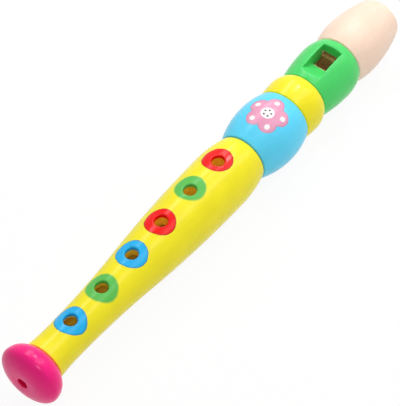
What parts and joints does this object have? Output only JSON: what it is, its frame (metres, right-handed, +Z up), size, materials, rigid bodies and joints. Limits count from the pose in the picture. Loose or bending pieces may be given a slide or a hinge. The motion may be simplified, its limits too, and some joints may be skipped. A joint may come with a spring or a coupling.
{
  "type": "toy recorder",
  "caption": "Toy recorder turned from wood, in bright lacquer, with colour-ringed finger holes, a window in the head and a plain wooden mouthpiece.",
  "frame": {"origin": "middle of the foot's end face, on the bore axis", "axes": "+X along the bore from the foot to the mouthpiece, +Z up through the finger holes"},
  "size_m": [0.2, 0.0248, 0.0249],
  "materials": {
    "pink_lacquer": "gloss lacquer",
    "yellow_lacquer": "gloss lacquer",
    "blue_lacquer": "gloss lacquer",
    "green_lacquer": "gloss lacquer",
    "plain_wood": "clear satin lacquer",
    "block_wood": "bare wood",
    "cork": "bare cork"
  },
  "bodies": {
    "body_section": {"body_tube": "yellow_lacquer", "body_cork": "cork", "foot_cork": "cork"},
    "foot_section": {"foot_cap": "pink_lacquer"},
    "barrel_section": {"barrel": "blue_lacquer"},
    "head_section": {"head": "green_lacquer", "collar_ring": "yellow_lacquer", "head_cork": "cork", "spigot_cork": "cork"},
    "mouthpiece_section": {"mouthpiece": "plain_wood", "block": "block_wood"}
  },
  "joints": [
    {"name": "foot_pull", "type": "slide", "parent": "body_section", "child": "foot_section", "axis": [-1, 0, 0], "range_m": [0, 0.006]},
    {"name": "barrel_pull", "type": "slide", "parent": "body_section", "child": "barrel_section", "axis": [1, 0, 0], "range_m": [0, 0.011]},
    {"name": "head_turn", "type": "hinge", "parent": "barrel_section", "child": "head_section", "pos_m": [0.1388, 0, 0], "axis": [1, 0, 0], "continuous": true},
    {"name": "mouthpiece_pull", "type": "slide", "parent": "head_section", "child": "mouthpiece_section", "axis": [1, 0, 0], "range_m": [0, 0.009]}
  ]
}
